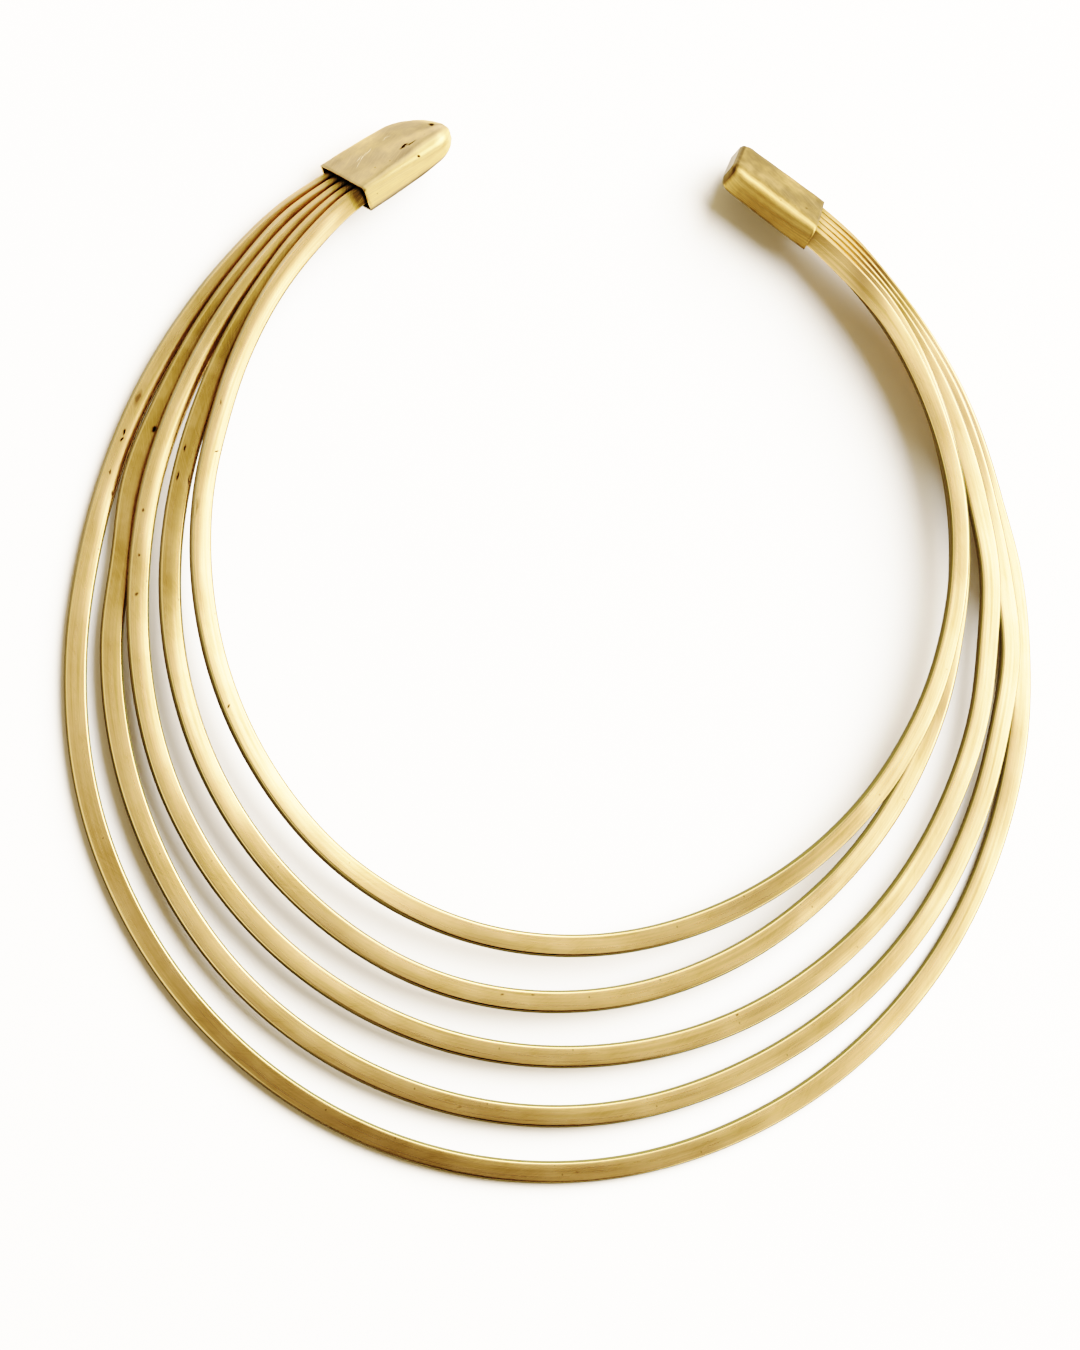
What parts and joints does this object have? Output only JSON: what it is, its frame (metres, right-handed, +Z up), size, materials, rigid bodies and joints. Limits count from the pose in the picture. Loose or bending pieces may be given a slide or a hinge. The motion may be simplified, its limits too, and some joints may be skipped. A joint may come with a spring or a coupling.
{
  "type": "open collar choker",
  "caption": "Rigid open choker of nested flat brass bars that fan out at the front and meet in a folded hollow cap at each end.",
  "frame": {"origin": "on the surface that the collar lies on, below the middle of its width and depth", "axes": "+Z is up out of the surface, -Y is the front of the collar, +Y is the open side with the two caps"},
  "size_m": [0.1548, 0.1641, 0.0106],
  "materials": {
    "bars": "satin brushed brass",
    "caps": "matt brushed sheet brass"
  },
  "bodies": {
    "root": {"bar_1": "bars", "bar_2": "bars", "bar_3": "bars", "bar_4": "bars", "bar_5": "bars", "cap_left": "caps", "cap_right": "caps"}
  },
  "joints": []
}
